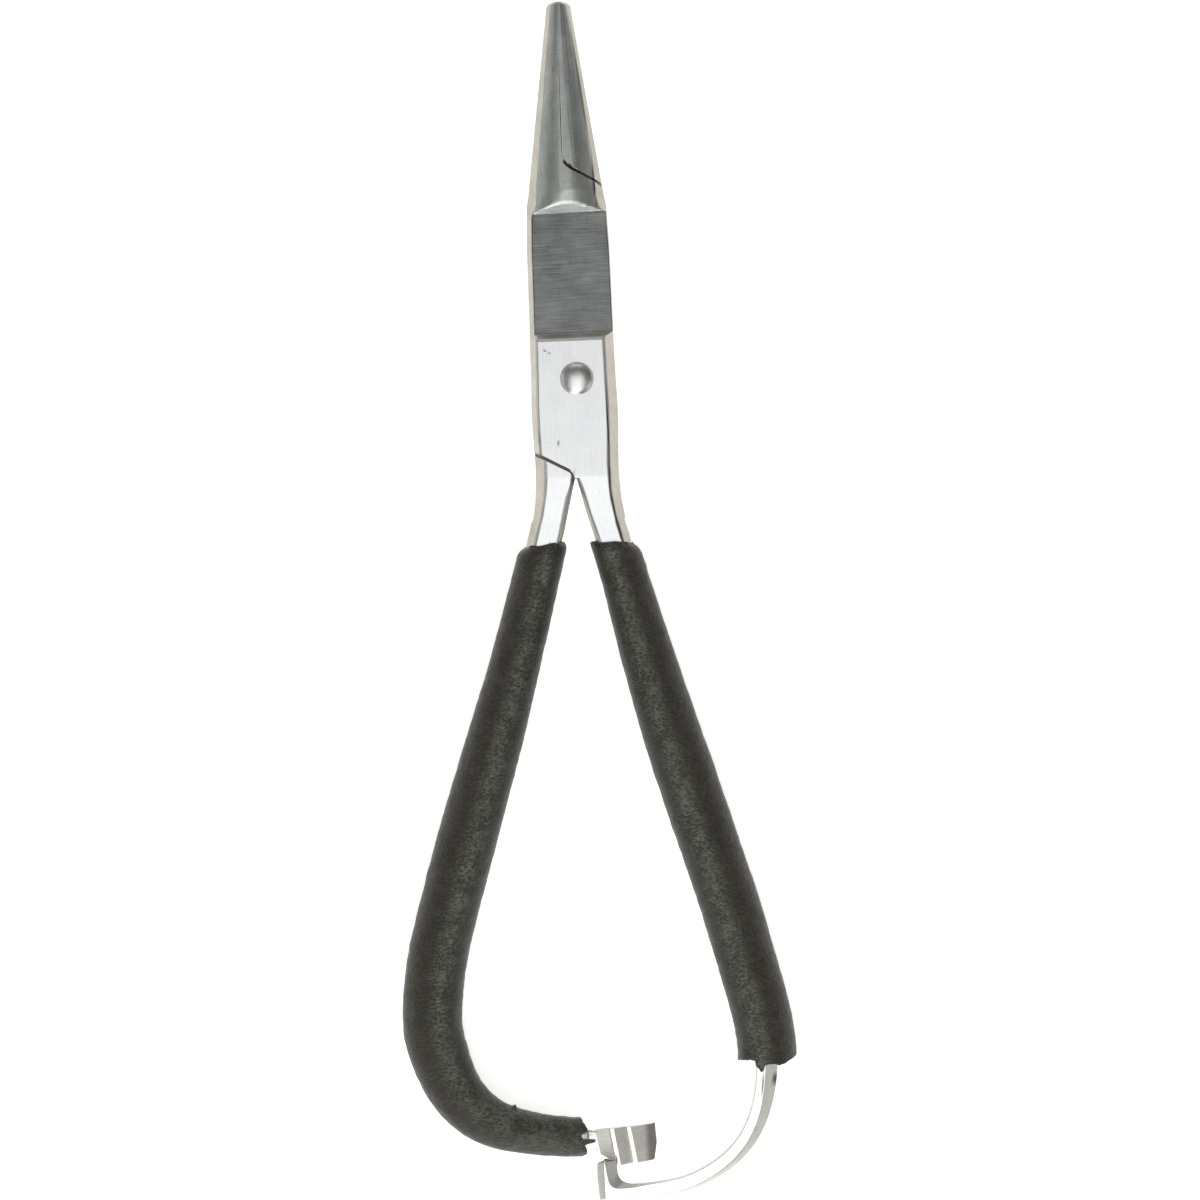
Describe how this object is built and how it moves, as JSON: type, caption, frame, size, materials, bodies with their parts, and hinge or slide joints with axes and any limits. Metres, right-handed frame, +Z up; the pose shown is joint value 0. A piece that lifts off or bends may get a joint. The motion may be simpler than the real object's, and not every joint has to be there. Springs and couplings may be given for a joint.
{
  "type": "fishing pliers",
  "caption": "Slim locking fishing pliers with long tapered jaws, a riveted lap joint, two sleeved bow handles and a ratchet catch at the heel.",
  "frame": {"origin": "on the table, under the middle of the pliers' outline as they lie flat", "axes": "+Y from the handles to the jaw tips, +X to the right seen from above, +Z up from the table along the rivet"},
  "size_m": [0.0458, 0.14, 0.0066],
  "materials": {
    "steel": "satin ground stainless steel, brushed along its length",
    "polished": "polished stainless steel",
    "sleeve": "matt charcoal moulded rubber with a fine pebbled skin"
  },
  "bodies": {
    "front_lever": {"front_half": "steel", "pivot_rivet": "polished", "right_grip": "sleeve"},
    "back_lever": {"back_half": "steel", "left_grip": "sleeve", "ratchet_rack": "polished"},
    "latch_spring": {"latch_arm": "polished"}
  },
  "joints": [
    {"name": "jaw_pivot", "type": "hinge", "parent": "front_lever", "child": "back_lever", "pos_m": [0.00051, 0.02582, 0.00329], "axis": [0, 0, -1], "range_deg": [0, 30]},
    {"name": "catch_flex", "type": "hinge", "parent": "front_lever", "child": "latch_spring", "pos_m": [0.01946, -0.05218, 0.00329], "axis": [-0.617, 0.787, 0], "range_deg": [-1.35, 4], "stiffness_Nm_per_rad": 0.2}
  ]
}
